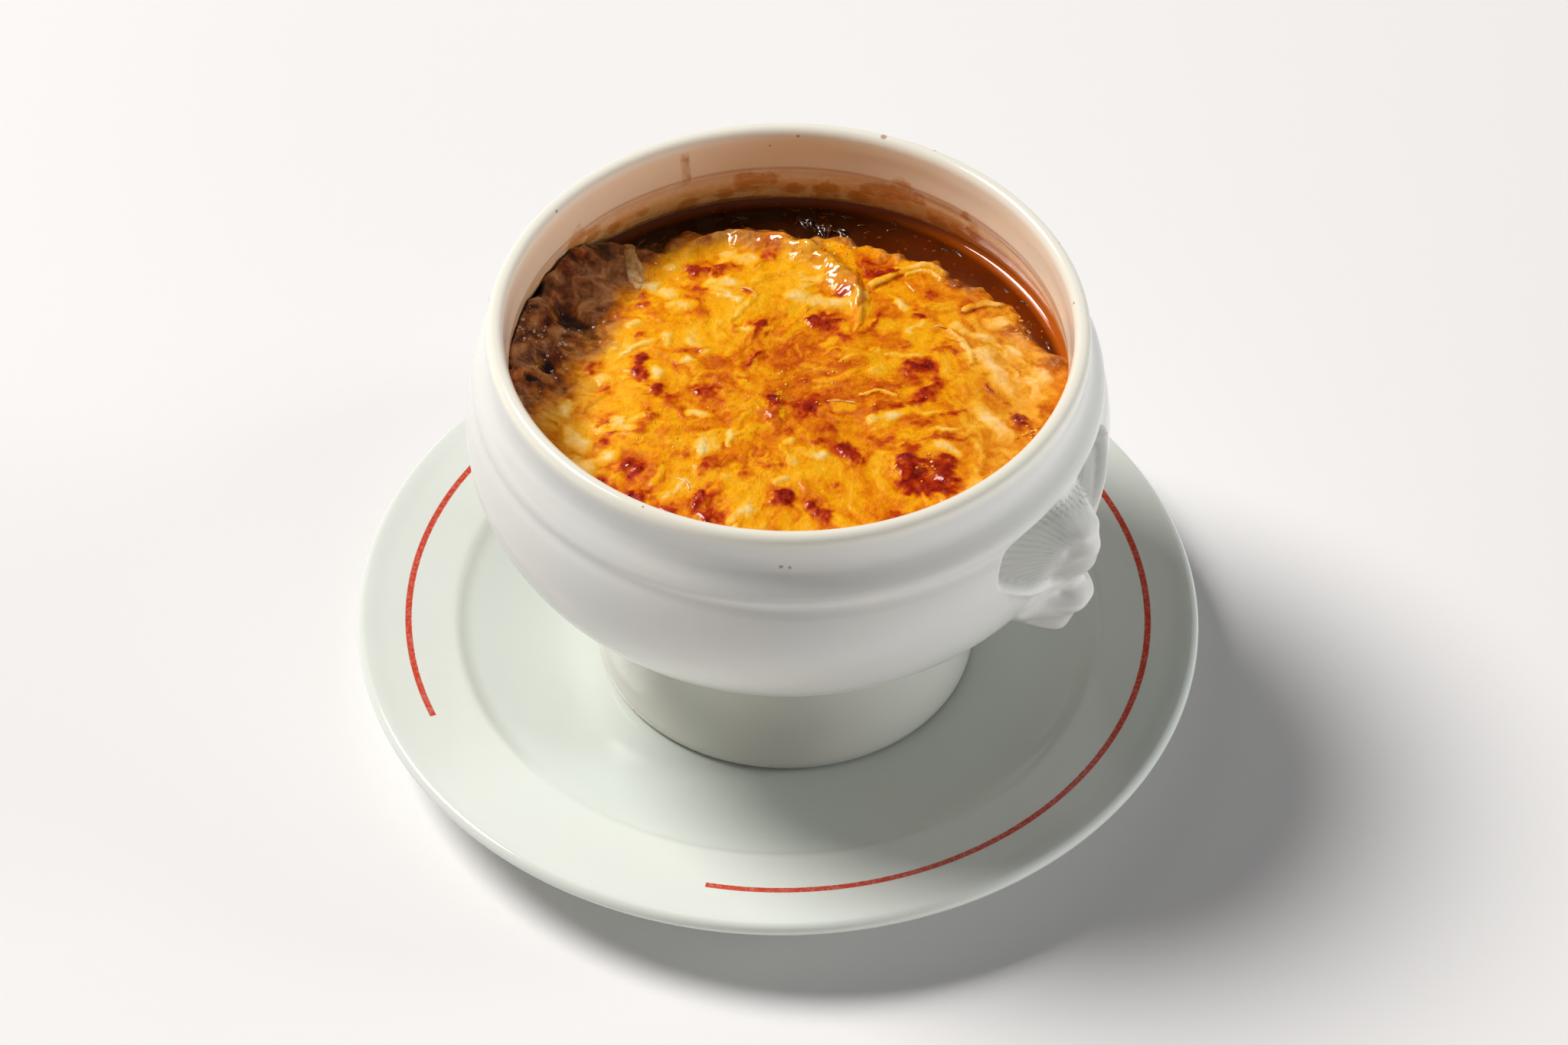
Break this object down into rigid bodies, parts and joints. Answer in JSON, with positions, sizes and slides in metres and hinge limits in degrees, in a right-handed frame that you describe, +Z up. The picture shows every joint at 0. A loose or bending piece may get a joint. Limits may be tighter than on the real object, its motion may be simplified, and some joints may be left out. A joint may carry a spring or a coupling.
{
  "type": "french onion soup in a footed lion-head bowl",
  "caption": "Onion soup gratinated with browned cheese, in a footed white porcelain bowl with lion-head lugs, standing on its saucer with a thin red ring.",
  "frame": {"origin": "centre of the saucer's underside, on the plane of its foot ring", "axes": "+Z up through the bowl, +X to the right and +Y away from the viewer; the lion heads lie 29 degrees clockwise from +X and opposite it"},
  "size_m": [0.18, 0.18, 0.101],
  "materials": {
    "saucer_glaze": "gloss",
    "bowl_glaze": "gloss",
    "broth": "gloss",
    "browned_cheese": "satin"
  },
  "bodies": {
    "root": {"saucer": "saucer_glaze", "bowl": "bowl_glaze", "broth": "broth", "cheese": "browned_cheese"}
  },
  "joints": []
}
